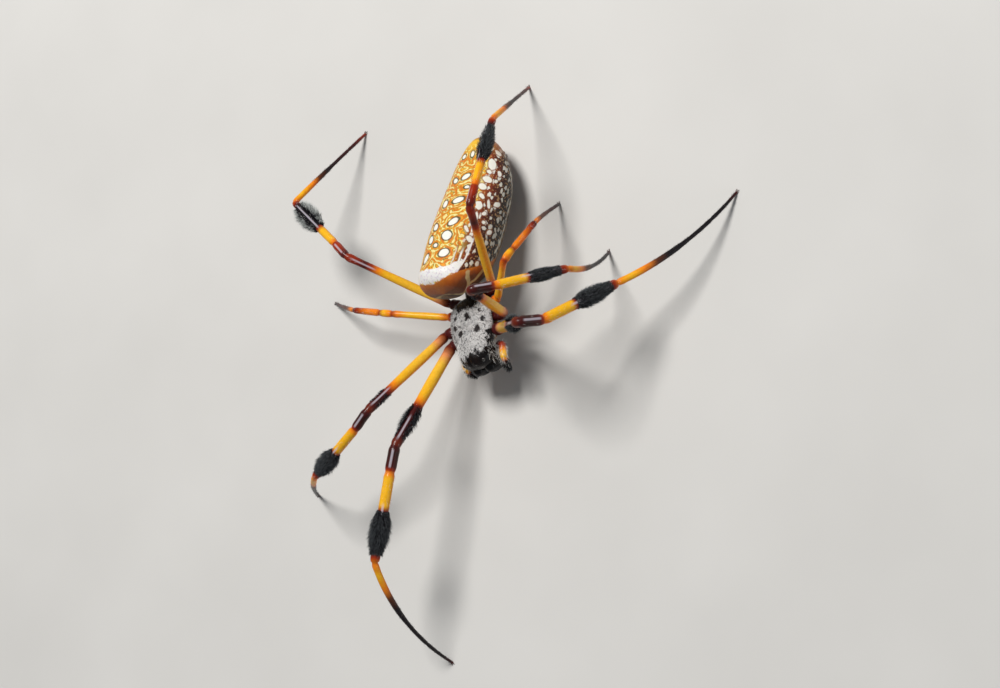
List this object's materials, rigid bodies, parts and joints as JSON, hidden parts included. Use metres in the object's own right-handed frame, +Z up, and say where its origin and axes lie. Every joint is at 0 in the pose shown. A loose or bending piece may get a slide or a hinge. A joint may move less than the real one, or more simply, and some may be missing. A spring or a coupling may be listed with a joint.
{
  "type": "golden silk orb weaver spider model",
  "caption": "Life-size still model of a female golden silk orb weaver spider, standing with long legs spread and dark bristle brushes on the shins.",
  "frame": {"origin": "on the floor, under the middle of the outline seen from above", "axes": "+X ahead of the spider, +Y its left side, +Z up from the floor"},
  "size_m": [0.0662, 0.0618, 0.0212],
  "materials": {
    "carapace": "silver down over a dark shell",
    "sternum": "dull brown shell",
    "waist": "dark red-brown skin",
    "abdomen": "golden skin with cream spots, satin",
    "spinnerets": "dull brown skin",
    "jaws": "glossy black shell",
    "fangs": "glossy dark red-brown",
    "palps": "yellow-orange shell, dark ends",
    "eyes": "wet black",
    "thighs": "golden shell with dark red-brown ends",
    "shins": "golden base under a black bristle brush",
    "feet": "orange base fading to thin black"
  },
  "bodies": {
    "root": {"carapace": "carapace", "sternum": "sternum", "pedicel": "waist", "abdomen": "abdomen", "spinnerets": "spinnerets", "chelicera_left": "jaws", "chelicera_right": "jaws", "fang_left": "fangs", "fang_right": "fangs", "palp_left": "palps", "palp_right": "palps", "eye_front_median_left": "eyes", "eye_front_median_right": "eyes", "eye_rear_median_left": "eyes", "eye_rear_median_right": "eyes", "eye_front_lateral_left": "eyes", "eye_front_lateral_right": "eyes", "eye_rear_lateral_left": "eyes", "eye_rear_lateral_right": "eyes", "leg_l1_femur": "thighs", "leg_l1_tibia": "shins", "leg_l1_foot": "feet", "leg_l2_femur": "thighs", "leg_l2_tibia": "shins", "leg_l2_foot": "feet", "leg_l3_femur": "thighs", "leg_l3_tibia": "shins", "leg_l3_foot": "feet", "leg_l4_femur": "thighs", "leg_l4_tibia": "shins", "leg_l4_foot": "feet", "leg_r1_femur": "thighs", "leg_r1_tibia": "shins", "leg_r1_foot": "feet", "leg_r2_femur": "thighs", "leg_r2_tibia": "shins", "leg_r2_foot": "feet", "leg_r3_femur": "thighs", "leg_r3_tibia": "shins", "leg_r3_foot": "feet", "leg_r4_femur": "thighs", "leg_r4_tibia": "shins", "leg_r4_foot": "feet"}
  },
  "joints": []
}
